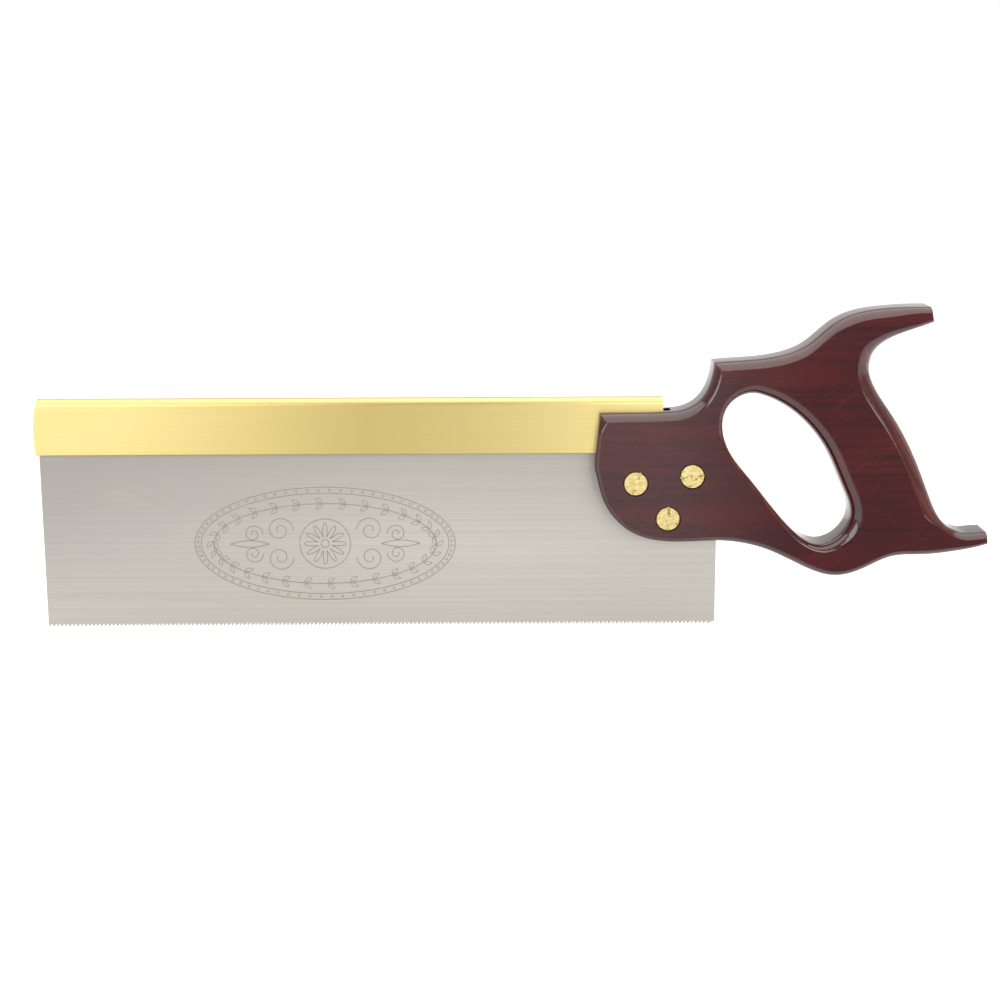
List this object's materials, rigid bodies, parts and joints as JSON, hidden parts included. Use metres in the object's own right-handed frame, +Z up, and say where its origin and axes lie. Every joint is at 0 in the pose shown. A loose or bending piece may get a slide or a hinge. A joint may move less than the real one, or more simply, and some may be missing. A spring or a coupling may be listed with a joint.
{
  "type": "back saw",
  "caption": "Back saw: thin toothed steel blade stiffened by a folded brass back, in a closed hardwood handle held by brass saw screws with split nuts.",
  "frame": {"origin": "middle of the hand grip, on the blade's mid-plane", "axes": "+X from the toe to the hand, +Z up with the teeth pointing down, -Y the left side, where the split nuts show"},
  "size_m": [0.4272, 0.022, 0.1458],
  "materials": {
    "blade_steel": "brushed along its length",
    "back_brass": "brushed along its length",
    "handle_wood": "red-brown stain under gloss lacquer",
    "nut_brass": "filed flush with the cheek",
    "screw_brass": "filed flush with the cheek"
  },
  "bodies": {
    "saw": {"handle": "handle_wood", "blade": "blade_steel", "brass_back": "back_brass"},
    "front_nut": {"front_split_nut": "nut_brass"},
    "front_screw": {"front_saw_screw": "screw_brass"},
    "rear_nut": {"rear_split_nut": "nut_brass"},
    "rear_screw": {"rear_saw_screw": "screw_brass"},
    "lower_nut": {"lower_split_nut": "nut_brass"},
    "lower_screw": {"lower_saw_screw": "screw_brass"}
  },
  "joints": [
    {"name": "front_nut_turn", "type": "hinge", "parent": "saw", "child": "front_nut", "pos_m": [-0.1046, 0, -0.0126], "axis": [0, -1, 0], "range_deg": [0, 2520]},
    {"name": "front_screw_slide", "type": "slide", "parent": "saw", "child": "front_screw", "axis": [0, 1, 0], "range_m": [0, 0.0075]},
    {"name": "rear_nut_turn", "type": "hinge", "parent": "saw", "child": "rear_nut", "pos_m": [-0.0794, 0, -0.0094], "axis": [0, -1, 0], "range_deg": [0, 2520]},
    {"name": "rear_screw_slide", "type": "slide", "parent": "saw", "child": "rear_screw", "axis": [0, 1, 0], "range_m": [0, 0.0075]},
    {"name": "lower_nut_turn", "type": "hinge", "parent": "saw", "child": "lower_nut", "pos_m": [-0.09, 0, -0.0287], "axis": [0, -1, 0], "range_deg": [0, 2520]},
    {"name": "lower_screw_slide", "type": "slide", "parent": "saw", "child": "lower_screw", "axis": [0, 1, 0], "range_m": [0, 0.0075]}
  ],
  "couplings": [
    {"joint": "front_screw_slide", "follows": "front_nut_turn", "m_per_rad": 0.00016844},
    {"joint": "rear_screw_slide", "follows": "rear_nut_turn", "m_per_rad": 0.00016844},
    {"joint": "lower_screw_slide", "follows": "lower_nut_turn", "m_per_rad": 0.00016844}
  ]
}
